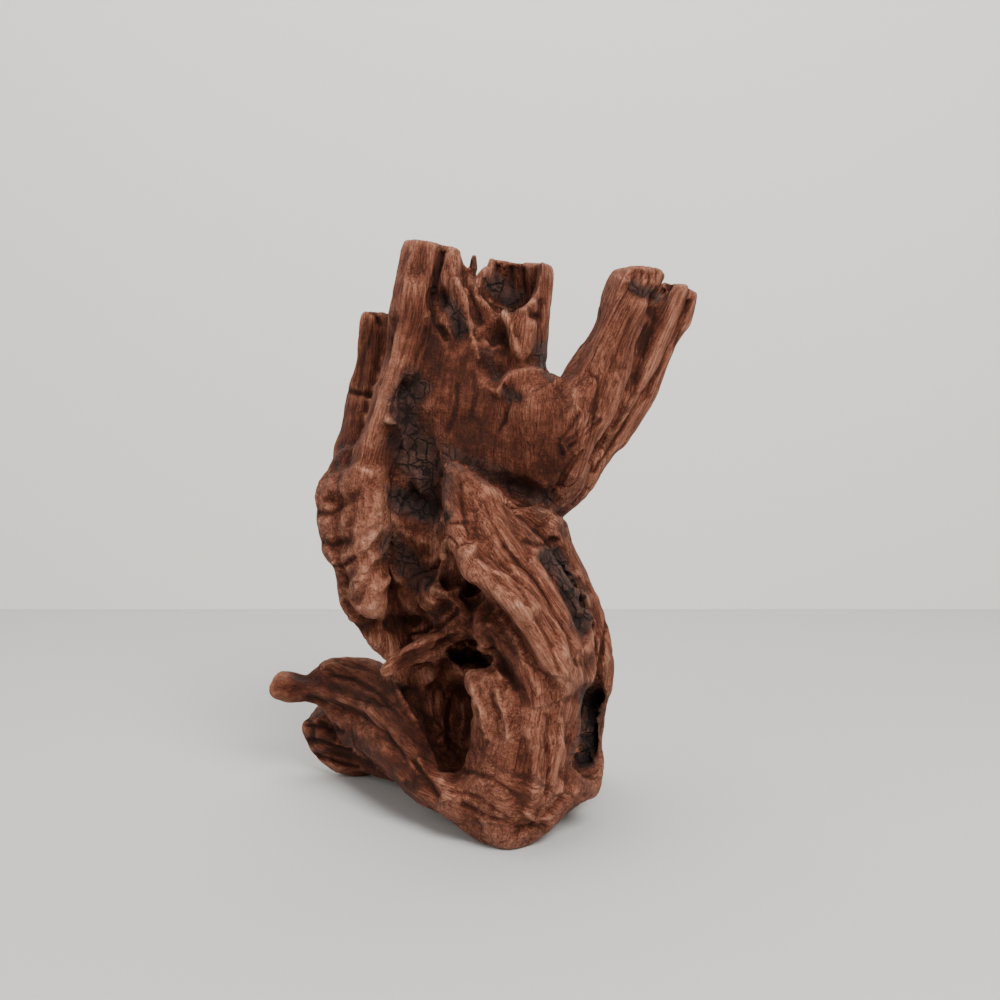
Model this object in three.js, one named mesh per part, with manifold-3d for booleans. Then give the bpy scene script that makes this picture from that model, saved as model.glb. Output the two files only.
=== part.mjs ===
// Driftwood: one weathered, S-shaped piece of root wood that stands on three low points.
// Millimetres, +Z up, seen from the front along +Y. The origin is at the centre of the base.
import * as THREE from "three";
import { ImprovedNoise } from "three/addons/math/ImprovedNoise.js";
import { mergeVertices } from "three/addons/utils/BufferGeometryUtils.js";
import Module from "manifold-3d";

const wasm = await Module();
wasm.setup();
const noise = new ImprovedNoise();

// A limb's relief, as a share of its width: how often it comes round the limb and its pitch along it in mm.
const RELIEF = {
  strand: { height: 0.16, around: 1.5, pitch: 50, variety: 7, start: [0, 0] },
  crest: { height: 0.4, level: 0.15, around: 2.6, pitch: 60, variety: 3, start: [0, 9] },
  lump: { height: 0.14, around: 1, pitch: 17, variety: 1, start: [5, 0] },
};
const CAP = { roughness: 0.4, pitch: 7 };
const END_SHARE = 0.001;
const HOLLOW = { detail: 3, roughness: 0.14, pitch: 0.5 };
const BREAK_BOX = { deep: 60, high: 40 };
const GROUND_BOX = { side: 400, deep: 60 };

// Wear: the shortest edge that stays, and how far each round pulls a corner to the mean of its neighbours.
const SHORTEST_EDGE = 3;
const PULLS = [0.6, -0.5, 0.6, -0.5, 0.4];
// Gnarls and knuckles stand out from the worn surface by their height in mm, over a skin.
const SKIN = 0.3;
const GNARL = { height: 2.6, across: 13, along: 22, start: 0 };
const KNUCKLE = { height: 1.4, across: 6, along: 9, start: 40 };

const WOOD = { color: 0x8a4a35, roughness: 0.85, metalness: 0 };

// Each limb is a row of stations along its grain: x, y, z, half width across, half thickness front to back.
const limbs = {
  leftHorn: {
    stations: [
      [-34, 8, 276, 9, 11],
      [-38, 5, 252, 10, 12],
      [-41, 2, 232, 10, 14],
      [-45, 0, 208, 10, 15],
      [-53, -2, 184, 9, 14],
      [-61, -5, 160, 9, 14],
      [-61, -10, 132, 10, 14],
      [-58, -13, 108, 7, 11],
      [-55, -14, 94, 3, 5],
    ],
    sides: 20,
    steps: 24,
  },
  leftHornInnerStrand: {
    stations: [
      [-19, 10, 272, 7, 10],
      [-20, 9, 250, 9, 12],
      [-23, 9, 230, 13, 15],
      [-22, 10, 205, 15, 17],
      [-18, 12, 180, 10, 10],
    ],
    sides: 18,
    steps: 13,
  },
  leftWeb: {
    stations: [
      [-30, 6, 238, 6, 8],
      [-34, 3, 210, 12, 12],
      [-38, 2, 184, 13, 12],
      [-40, 6, 158, 13, 13],
      [-41, 9, 130, 12, 13],
      [-40, 12, 104, 11, 12],
      [-34, 14, 80, 6, 7],
    ],
    sides: 14,
    steps: 17,
  },
  backSlab: {
    stations: [
      [-59, 34, 248, 9, 6],
      [-61, 32, 212, 10, 8],
      [-67, 27, 180, 12, 11],
      [-71, 22, 150, 11, 14],
      [-62, 24, 124, 8, 10],
      [-50, 26, 108, 3, 4],
    ],
    sides: 16,
    steps: 15,
  },
  middleStump: {
    stations: [
      [6, 16, 268, 17, 18],
      [6, 13, 242, 18, 19],
      [5, 13, 216, 18, 20],
      [4, 14, 190, 18, 18],
      [2, 16, 170, 10, 10],
    ],
    sides: 26,
    steps: 13,
  },
  stumpSide: {
    stations: [
      [-12, 14, 250, 3, 5],
      [-12, 14, 246, 4, 6],
      [-12, 14, 240, 6, 8],
      [-12, 13, 228, 7, 10],
    ],
    sides: 10,
    steps: 6,
  },
  stumpShield: {
    stations: [
      [8, -4, 199, 8, 9],
      [15, -7, 194, 13, 11],
      [22, -5, 181, 16, 13],
      [23, 0, 163, 13, 12],
      [18, 8, 142, 5, 5],
    ],
    sides: 18,
    steps: 10,
  },
  rightHorn: {
    stations: [
      [66, -3, 263, 13, 12],
      [60, -3, 240, 12, 13],
      [53, 0, 220, 12, 15],
      [42, 2, 197, 17, 18],
      [33, 5, 175, 16, 18],
      [24, 14, 142, 4, 6],
    ],
    sides: 22,
    steps: 18,
  },
  rightHornOuterStrand: {
    stations: [
      [88, 13, 258, 9, 10],
      [78, 14, 230, 10, 12],
      [67, 15, 203, 10, 13],
      [50, 14, 176, 9, 14],
      [36, 12, 154, 7, 13],
      [23, 16, 136, 3, 5],
    ],
    sides: 17,
    steps: 17,
  },
  upperBody: {
    stations: [
      [-6, 16, 230, 20, 14],
      [-9, 16, 204, 34, 21],
      [-12, 17, 178, 43, 26],
      [-16, 18, 148, 46, 26],
      [-16, 20, 112, 42, 23],
      [-12, 19, 79, 37, 20],
    ],
    sides: 32,
    steps: 17,
  },
  nose: {
    stations: [
      [-22, -44, 167, 2, 4],
      [-16, -39, 154, 10, 9],
      [-7, -35, 138, 15, 13],
      [5, -31, 119, 20, 16],
      [18, -28, 100, 19, 18],
      [28, -24, 80, 15, 19],
      [33, -18, 58, 10, 16],
      [34, -12, 40, 5, 9],
    ],
    sides: 26,
    steps: 23,
  },
  noseShoulder: {
    stations: [
      [-3, -16, 151, 4, 6],
      [11, -15, 145, 8, 11],
      [22, -11, 133, 9, 12],
      [30, -6, 114, 10, 14],
      [37, -2, 94, 10, 15],
      [44, 1, 72, 8, 13],
      [47, 3, 50, 3, 5],
    ],
    sides: 16,
    steps: 16,
  },
  rightRim: {
    stations: [
      [30, 18, 112, 5, 7],
      [40, 16, 86, 9, 14],
      [46, 15, 62, 8, 15],
      [43, 13, 38, 7, 14],
      [41, 8, 19, 9, 15],
      [32, 2, 9, 9, 15],
    ],
    sides: 15,
    steps: 15,
  },
  lowRoot: {
    stations: [
      [-117, 45, 51, 9, 9],
      [-111, 45, 50, 11, 11],
      [-99, 45, 48, 8, 9],
      [-87, 43, 49, 14, 11],
      [-70, 38, 46, 22, 15],
      [-53, 24, 39, 21, 18],
      [-39, 5, 29, 18, 20],
      [-22, -16, 21, 18, 20],
      [0, -25, 21, 18, 20],
      [23, -21, 23, 18, 20],
      [40, -6, 26, 12, 16],
    ],
    sides: 22,
    steps: 29,
  },
  lowRootSecondProng: {
    stations: [
      [-91, 56, 36, 15, 11],
      [-87, 56, 28, 17, 12],
      [-80, 55, 20, 21, 13],
      [-64, 49, 18, 18, 15],
      [-42, 31, 18, 16, 18],
      [-18, 8, 14, 8, 12],
    ],
    sides: 19,
    steps: 14,
  },
  tongue: {
    stations: [
      [-53, -12, 71, 4, 4],
      [-42, -14, 77, 6, 6],
      [-25, -12, 85, 7, 8],
      [-8, -6, 92, 8, 9],
      [7, 2, 95, 8, 9],
    ],
    sides: 11,
    steps: 12,
  },
  tongueChip: {
    stations: [
      [-33, -7, 60, 1, 2],
      [-32, -4, 69, 7, 6],
      [-27, 2, 79, 9, 8],
    ],
    sides: 9,
    steps: 5,
  },
  middleFold: {
    stations: [
      [-22, -20, 138, 3, 4],
      [-28, -17, 124, 9, 8],
      [-31, -13, 108, 11, 11],
      [-20, -13, 97, 10, 11],
      [-2, -12, 93, 8, 10],
    ],
    sides: 14,
    steps: 13,
  },
  leftBurl: {
    stations: [
      [-67, 8, 172, 7, 9],
      [-73, 7, 154, 10, 14],
      [-73, 5, 134, 11, 16],
      [-67, 4, 114, 10, 15],
      [-62, 7, 96, 9, 13],
      [-54, 12, 80, 7, 11],
      [-43, 16, 66, 4, 8],
    ],
    sides: 17,
    steps: 17,
  },
  waist: {
    stations: [
      [-13, 22, 106, 40, 20],
      [-10, 21, 76, 40, 22],
      [-3, 20, 52, 37, 22],
      [6, 14, 31, 30, 21],
      [12, 7, 18, 17, 15],
    ],
    sides: 27,
    steps: 12,
  },
  backStrandLeft: {
    stations: [
      [-57, 33, 207, 6, 5],
      [-52, 36, 172, 12, 9],
      [-42, 40, 138, 16, 10],
      [-28, 43, 104, 17, 10],
      [-8, 43, 70, 16, 11],
      [12, 45, 36, 15, 11],
      [30, 51, 8, 10, 11],
    ],
    sides: 15,
    steps: 20,
  },
  backStrandRight: {
    stations: [
      [40, 20, 204, 5, 5],
      [27, 32, 170, 13, 9],
      [18, 38, 138, 15, 10],
      [22, 37, 104, 14, 10],
      [32, 35, 72, 13, 12],
      [38, 43, 36, 13, 14],
      [38, 53, 8, 12, 12],
    ],
    sides: 15,
    steps: 20,
  },
  backFoot: {
    stations: [
      [18, 32, 50, 17, 17],
      [28, 42, 26, 16, 17],
      [36, 52, 7, 13, 14],
      [39, 56, -4, 10, 11],
    ],
    sides: 17,
    steps: 9,
  },
  belly: {
    stations: [
      [-8, -6, 108, 6, 8],
      [0, -13, 96, 14, 14],
      [7, -19, 81, 19, 20],
      [12, -25, 64, 22, 25],
      [12, -27, 46, 23, 26],
      [9, -28, 27, 24, 24],
      [3, -33, 13, 24, 18],
      [0, -38, -3, 10, 10],
    ],
    sides: 26,
    steps: 18,
  },
  noseCrest: {
    stations: [
      [-17, -42, 134, 3, 4],
      [-11, -46, 125, 7, 8],
      [1, -48, 114, 7, 9],
      [13, -48, 103, 8, 9],
      [21, -46, 89, 8, 9],
      [27, -43, 73, 8, 10],
      [30, -38, 55, 6, 9],
      [28, -38, 36, 5, 7],
    ],
    sides: 12,
    steps: 17,
  },
  burlFrontRidge: {
    stations: [
      [-62, -18, 150, 3, 5],
      [-63, -20, 136, 5, 6],
      [-60, -19, 120, 6, 7],
      [-55, -17, 104, 5, 6],
      [-52, -14, 96, 3, 3],
    ],
    sides: 11,
    steps: 11,
  },
  burlKnobUpper: {
    stations: [
      [-81, 4, 158, 8, 9],
      [-70, 8, 150, 10, 11],
    ],
    sides: 10,
    steps: 3,
  },
  burlKnobLower: {
    stations: [
      [-80, 1, 128, 7, 8],
      [-70, 4, 122, 9, 10],
    ],
    sides: 10,
    steps: 3,
  },
  backRib: {
    stations: [
      [-30, 33, 196, 5, 4],
      [-16, 40, 168, 10, 6],
      [-8, 43, 136, 11, 7],
      [-10, 45, 104, 10, 7],
      [-18, 43, 76, 6, 5],
    ],
    sides: 13,
    steps: 14,
  },
  backRibLow: {
    stations: [
      [-52, 32, 112, 4, 5],
      [-46, 38, 88, 9, 9],
      [-34, 41, 62, 13, 11],
      [-20, 38, 38, 12, 12],
      [-8, 30, 22, 6, 7],
    ],
    sides: 13,
    steps: 12,
  },
};

// Hollows are displaced balls that are cut away: centre, half sizes, and turns about Y and X in degrees.
const hollows = {
  stumpCup: { centre: [3.5, 11, 252], half: [14.5, 15, 28], turn: [0, 16] },
  stumpLip: { centre: [-1, -60, 306], half: [30, 94, 94], turn: [0, 0] },
  stumpNotch: { centre: [-12, 14, 267], half: [8, 26, 14], turn: [0, 0] },
  pocketUnderStump: { centre: [-2, -12, 217], half: [9, 13, 18], turn: [-12, 0] },
  charredValley: { centre: [-37, -18, 142], half: [16, 18, 40], turn: [4, 0] },
  shadeAboveNose: { centre: [2, -18, 156], half: [20, 11, 10], turn: [12, 0] },
  bowl: { centre: [-26, -20, 52], half: [17, 32, 26], turn: [-8, 0] },
  bowlFoot: { centre: [-24, -30, 36], half: [9, 26, 14], turn: [-22, 0] },
  caveUnderTongue: { centre: [-12, -14, 78], half: [14, 30, 8], turn: [0, 0] },
  rightHollow: { centre: [40, -16, 45], half: [9, 27, 25], turn: [6, 0] },
  flankUnderCrest: { centre: [0, -46, 93], half: [7, 12, 24], turn: [-34, 0] },
  backHollow: { centre: [6, 56, 150], half: [8, 14, 40], turn: [-6, 0] },
  backKnotHole: { centre: [14, 58, 70], half: [10, 18, 17], turn: [-25, 0] },
  leftCleft: { centre: [-86, 22, 94], half: [18, 9, 8], turn: [-20, 0] },
};

// Broken ends: a point on each break, its reach to either side and its lean to the right in degrees.
const breaks = {
  leftHorn: { at: [-28, 8, 265], reach: 17, lean: 10 },
  backSlab: { at: [-60, 34, 237.5], reach: 12, lean: 5 },
  middleStump: { at: [10, 16, 260], reach: 17, lean: 11 },
  rightHorn: { at: [64, -3, 252.5], reach: 15, lean: 4 },
  rightHornOuterStrand: { at: [86, 15, 247], reach: 13, lean: 22 },
};

const FRONT = new THREE.Vector3(0, -1, 0);

// A three.js geometry as a closed solid.
function toSolid(geometry) {
  geometry.deleteAttribute("normal");
  geometry.deleteAttribute("uv");
  const merged = mergeVertices(geometry, 1e-4);
  return new wasm.Manifold(
    new wasm.Mesh({
      numProp: 3,
      vertProperties: merged.attributes.position.array,
      triVerts: new Uint32Array(merged.index.array),
    }),
  );
}

// How far the wood stands out from a smooth limb at an angle round it and a distance along it.
function relief(angle, distance, seed) {
  const [x, y] = [Math.cos(angle), Math.sin(angle)];
  const { strand, crest, lump } = RELIEF;
  const wave = ({ around, pitch, variety, start }) =>
    noise.noise(around * x + variety * seed, around * y + start[0], distance / pitch + start[1]);
  const ridge = crest.level - Math.abs(wave(crest));
  return 1 + strand.height * wave(strand) + crest.height * ridge + lump.height * wave(lump);
}

// A limb is a cylinder carried along the curve through its stations. Its first end is left uneven.
function limb({ stations, sides, steps }, seed) {
  const spine = new THREE.CatmullRomCurve3(stations.map(([x, y, z]) => new THREE.Vector3(x, y, z)));
  const girth = new THREE.CatmullRomCurve3(stations.map(([, , , w, t]) => new THREE.Vector3(w, t, 0)));
  const length = spine.getLength();
  const geometry = new THREE.CylinderGeometry(1, 1, 1, sides, steps);
  const place = geometry.attributes.position;
  for (let i = 0; i < place.count; i++) {
    const along = 0.5 - place.getY(i);
    const tangent = spine.getTangent(along);
    const across = new THREE.Vector3().crossVectors(tangent, FRONT).normalize();
    const through = new THREE.Vector3().crossVectors(tangent, across);
    const size = girth.getPoint(along);
    const swell = relief(Math.atan2(place.getX(i), place.getZ(i)), along * length, seed);
    const point = spine
      .getPoint(along)
      .addScaledVector(across, place.getX(i) * size.x * swell)
      .addScaledVector(through, place.getZ(i) * size.y * swell);
    if (along < END_SHARE) {
      const broken = noise.noise(point.x / CAP.pitch, point.y / CAP.pitch, seed);
      point.addScaledVector(tangent, CAP.roughness * size.x * broken);
    }
    place.setXYZ(i, point.x, point.y, point.z);
  }
  return toSolid(geometry);
}

// A hollow is an uneven ball.
function hollow({ centre, half, turn }) {
  const geometry = new THREE.IcosahedronGeometry(1, HOLLOW.detail);
  const place = geometry.attributes.position;
  for (let i = 0; i < place.count; i++) {
    const point = new THREE.Vector3().fromBufferAttribute(place, i);
    const spot = point.clone().divideScalar(HOLLOW.pitch);
    point.multiplyScalar(1 + HOLLOW.roughness * noise.noise(spot.x + centre[0], spot.y, spot.z));
    place.setXYZ(i, point.x, point.y, point.z);
  }
  const [turnY, turnX] = turn.map(THREE.MathUtils.degToRad);
  geometry.scale(...half).rotateX(turnX).rotateY(turnY).translate(...centre);
  return toSolid(geometry);
}

// The box over a break, which is cut away.
function aboveBreak({ at, reach, lean }) {
  const geometry = new THREE.BoxGeometry(2 * reach, BREAK_BOX.deep, BREAK_BOX.high);
  geometry.translate(0, 0, BREAK_BOX.high / 2).rotateY(THREE.MathUtils.degToRad(lean)).translate(...at);
  return toSolid(geometry);
}

// Corners closer than the shortest edge are joined, so that the seams between limbs carry no slivers.
function mendSeams(points, triangles, shortest) {
  const sliverArea = 0.02;
  const turnLimit = 0.35;
  const around = points.map(() => new Set());
  triangles.forEach((triangle, t) => triangle.forEach((corner) => around[corner].add(t)));
  const ring = (corner) => new Set([...around[corner]].flatMap((t) => triangles[t]));
  const facing = (corners) => {
    const [a, b, c] = corners;
    return b.clone().sub(a).cross(c.clone().sub(a));
  };
  const join = (a, b) => {
    const others = ring(b);
    if ([...ring(a)].filter((corner) => others.has(corner)).length !== 4) return false;
    const middle = points[a].clone().lerp(points[b], 0.5);
    const moved = (corner) => (corner === a || corner === b ? middle : points[corner]);
    const turned = [...around[a], ...around[b]].some((t) => {
      const triangle = triangles[t];
      if (triangle.includes(a) && triangle.includes(b)) return false;
      const before = facing(triangle.map((corner) => points[corner]));
      const after = facing(triangle.map(moved));
      const same = before.dot(after) / (before.length() * after.length());
      return before.length() > sliverArea && !(same >= turnLimit);
    });
    if (turned) return false;
    points[a].copy(middle);
    for (const t of around[b]) {
      const triangle = triangles[t];
      if (triangle.includes(a)) {
        triangle.forEach((corner) => corner !== b && around[corner].delete(t));
        triangles[t] = [];
      } else {
        triangles[t] = triangle.map((corner) => (corner === b ? a : corner));
        around[a].add(t);
      }
    }
    around[b].clear();
    return true;
  };
  for (const limit of [0.2 * shortest, 0.6 * shortest, shortest, shortest]) {
    for (let a = 0; a < points.length; a++) {
      const near = [...ring(a)].filter((b) => b !== a && points[a].distanceTo(points[b]) < limit);
      near.some((b) => join(a, b));
    }
  }
  return triangles.filter((triangle) => triangle.length === 3);
}

// Wear pulls each corner to the mean of its neighbours, and gnarls stand out from the surface.
function weather(solid) {
  const { vertProperties, triVerts } = solid.getMesh();
  let points = Array.from({ length: vertProperties.length / 3 }, (_, i) =>
    new THREE.Vector3().fromArray(vertProperties, 3 * i),
  );
  const cornersOf = (t) => [...triVerts.slice(3 * t, 3 * t + 3)];
  const corners = Array.from({ length: triVerts.length / 3 }, (_, t) => cornersOf(t));
  const triangles = mendSeams(points, corners, SHORTEST_EDGE);
  const neighbours = points.map(() => new Set());
  for (const [a, b, c] of triangles) {
    neighbours[a].add(b);
    neighbours[b].add(c);
    neighbours[c].add(a);
  }
  const pulled = (point, i, pull) => {
    if (neighbours[i].size === 0) return point;
    const mean = new THREE.Vector3();
    for (const n of neighbours[i]) mean.add(points[n]);
    return point.clone().lerp(mean.divideScalar(neighbours[i].size), pull);
  };
  for (const pull of PULLS) {
    points = points.map((point, i) => pulled(point, i, pull));
  }
  const worn = new THREE.BufferGeometry().setFromPoints(points).setIndex(triangles.flat());
  worn.computeVertexNormals();
  const swelling = (point, { height, across, along, start }) =>
    height * noise.noise(point.x / across, point.y / across + start, point.z / along);
  points.forEach((point, i) => {
    const normal = new THREE.Vector3().fromBufferAttribute(worn.attributes.normal, i);
    point.addScaledVector(normal, SKIN + swelling(point, GNARL) + swelling(point, KNUCKLE));
  });
  return toSolid(new THREE.BufferGeometry().setFromPoints(points).setIndex(triangles.flat()));
}

let wood = Object.values(limbs).map(limb).reduce((whole, next) => whole.add(next));
for (const cut of Object.values(hollows)) wood = wood.subtract(hollow(cut));
wood = weather(wood);
for (const end of Object.values(breaks)) wood = wood.subtract(aboveBreak(end));
const { side, deep } = GROUND_BOX;
wood = wood.subtract(toSolid(new THREE.BoxGeometry(side, side, deep).translate(0, 0, -deep / 2)));

const mesh = wood.decompose().reduce((a, b) => (a.volume() > b.volume() ? a : b)).getMesh();
const geometry = new THREE.BufferGeometry()
  .setAttribute("position", new THREE.BufferAttribute(mesh.vertProperties, 3))
  .setIndex(new THREE.BufferAttribute(mesh.triVerts, 1));
geometry.computeBoundingBox();
const middle = geometry.boundingBox.getCenter(new THREE.Vector3());
geometry.translate(-middle.x, -middle.y, 0);
const driftwood = new THREE.Mesh(geometry, new THREE.MeshStandardMaterial(WOOD));
driftwood.name = "driftwood";
const part = new THREE.Group();
part.add(driftwood);
export default part;
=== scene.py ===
import math

import bpy
import numpy as np
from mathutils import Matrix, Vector


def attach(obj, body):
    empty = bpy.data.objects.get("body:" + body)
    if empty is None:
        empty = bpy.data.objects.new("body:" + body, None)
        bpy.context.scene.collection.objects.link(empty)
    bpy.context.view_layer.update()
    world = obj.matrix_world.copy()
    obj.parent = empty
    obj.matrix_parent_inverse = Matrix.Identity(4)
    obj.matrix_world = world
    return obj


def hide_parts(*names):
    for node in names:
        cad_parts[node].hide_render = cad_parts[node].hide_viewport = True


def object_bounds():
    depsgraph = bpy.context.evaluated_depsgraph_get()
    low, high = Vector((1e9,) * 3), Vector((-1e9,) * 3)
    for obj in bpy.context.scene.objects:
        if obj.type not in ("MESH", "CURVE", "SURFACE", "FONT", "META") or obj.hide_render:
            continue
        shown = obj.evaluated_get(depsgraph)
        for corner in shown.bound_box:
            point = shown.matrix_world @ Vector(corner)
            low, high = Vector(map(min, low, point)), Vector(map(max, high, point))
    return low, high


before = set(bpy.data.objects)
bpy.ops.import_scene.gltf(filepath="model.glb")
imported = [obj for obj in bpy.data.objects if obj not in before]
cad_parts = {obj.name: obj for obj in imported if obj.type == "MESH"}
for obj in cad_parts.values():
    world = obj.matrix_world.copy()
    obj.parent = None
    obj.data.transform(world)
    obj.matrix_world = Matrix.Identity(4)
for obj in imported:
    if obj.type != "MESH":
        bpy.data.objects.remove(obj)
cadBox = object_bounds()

mm = 0.001

# the photograph's viewpoint
view = {
    "eye": (12.8, -490.5, 182.0),  # mm, in the part's frame
    "pitch": -4.0,                 # degrees below level
    "focal": 1050.0,               # pixels
    "frame": 1000,                 # pixels on each side
    "sensor": 36.0,                # mm, the width of the film
}


def placeCamera():
    data = bpy.data.cameras.new("camera")
    data.sensor_width = view["sensor"]
    data.lens = view["sensor"] * view["focal"] / view["frame"]
    data.clip_start = 0.01
    camera = bpy.data.objects.new("camera", data)
    bpy.context.scene.collection.objects.link(camera)
    camera.location = [v * mm for v in view["eye"]]
    camera.rotation_euler = (math.radians(90 + view["pitch"]), 0, 0)
    bpy.context.scene.camera = camera


def toPicture(points):
    # where points (mm) fall in the photograph, and how far in front of the eye they are
    away = points - np.array(view["eye"])
    pitch = math.radians(view["pitch"])
    ahead = away[:, 1] * math.cos(pitch) + away[:, 2] * math.sin(pitch)
    up = away[:, 2] * math.cos(pitch) - away[:, 1] * math.sin(pitch)
    scale = view["focal"] / ahead
    half = view["frame"] / 2
    return np.stack([half + away[:, 0] * scale, half - up * scale], 1), ahead


# the limbs that the grain runs along: x, y, z and half width in mm, root end last
grainLines = dict(
    leftHorn=[(-23, -2, 270, 10), (-29, -5, 232, 11), (-41, -9, 184, 12), (-49, -14, 150, 12), (-44, -20, 92, 9)],
    innerStrand=[(-9, 3, 266, 9), (-11, 3, 230, 14), (-8, 4, 190, 16), (-10, 6, 150, 20), (-14, 6, 110, 20)],
    backSlab=[(-48, 27, 241, 9), (-55, 20, 180, 12), (-60, 14, 140, 13), (-46, 18, 100, 12), (-31, 9, 66, 10)],
    stump=[(18, 8, 262, 18), (17, 6, 216, 18), (20, 4, 180, 22), (22, 8, 145, 22)],
    rightHorn=[(76, -10, 254, 14), (61, -7, 220, 15), (46, 0, 175, 17), (36, 6, 140, 15)],
    outerStrand=[(98, 8, 250, 10), (77, 8, 200, 11), (48, 6, 154, 9), (30, 8, 120, 9)],
    trunk=[(5, 10, 220, 30), (-2, 10, 178, 40), (-4, 12, 130, 42), (0, 13, 80, 40), (10, 8, 30, 32)],
    nose=[(-10, -51, 168, 5), (4, -43, 140, 15), (18, -38, 118, 20), (34, -34, 92, 18), (44, -26, 60, 14),
          (40, -22, 30, 12)],
    shoulder=[(8, -23, 152, 8), (30, -20, 136, 10), (44, -12, 110, 11), (54, -4, 78, 10), (55, 5, 40, 9),
              (44, -2, 8, 10)],
    belly=[(6, -16, 106, 14), (19, -27, 80, 20), (24, -34, 50, 24), (17, -38, 14, 22)],
    lowRoot=[(-106, 38, 50, 9), (-76, 36, 50, 14), (-42, 20, 38, 20), (-12, -10, 22, 18), (20, -20, 16, 18),
             (46, -8, 22, 14)],
    prong=[(-88, 49, 33, 14), (-68, 48, 22, 20), (-40, 34, 18, 18), (-6, 4, 14, 12)],
    backLeft=[(-45, 27, 207, 8), (-30, 34, 138, 14), (-8, 37, 88, 16), (24, 39, 36, 15), (42, 44, 4, 12)],
    backRight=[(50, 14, 204, 8), (30, 31, 138, 14), (38, 29, 88, 14), (50, 38, 30, 14), (50, 46, 4, 12)],
    tongue=[(-42, -20, 73, 4), (-14, -19, 85, 8), (18, -6, 95, 9)],
    middleFold=[(-11, -27, 136, 4), (-20, -20, 108, 10), (0, -20, 94, 9)],
    bellyLow=[(-10, -36, 30, 12), (4, -44, 27, 18), (19, -46, 23, 18), (30, -42, 17, 13)],
)

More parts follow.
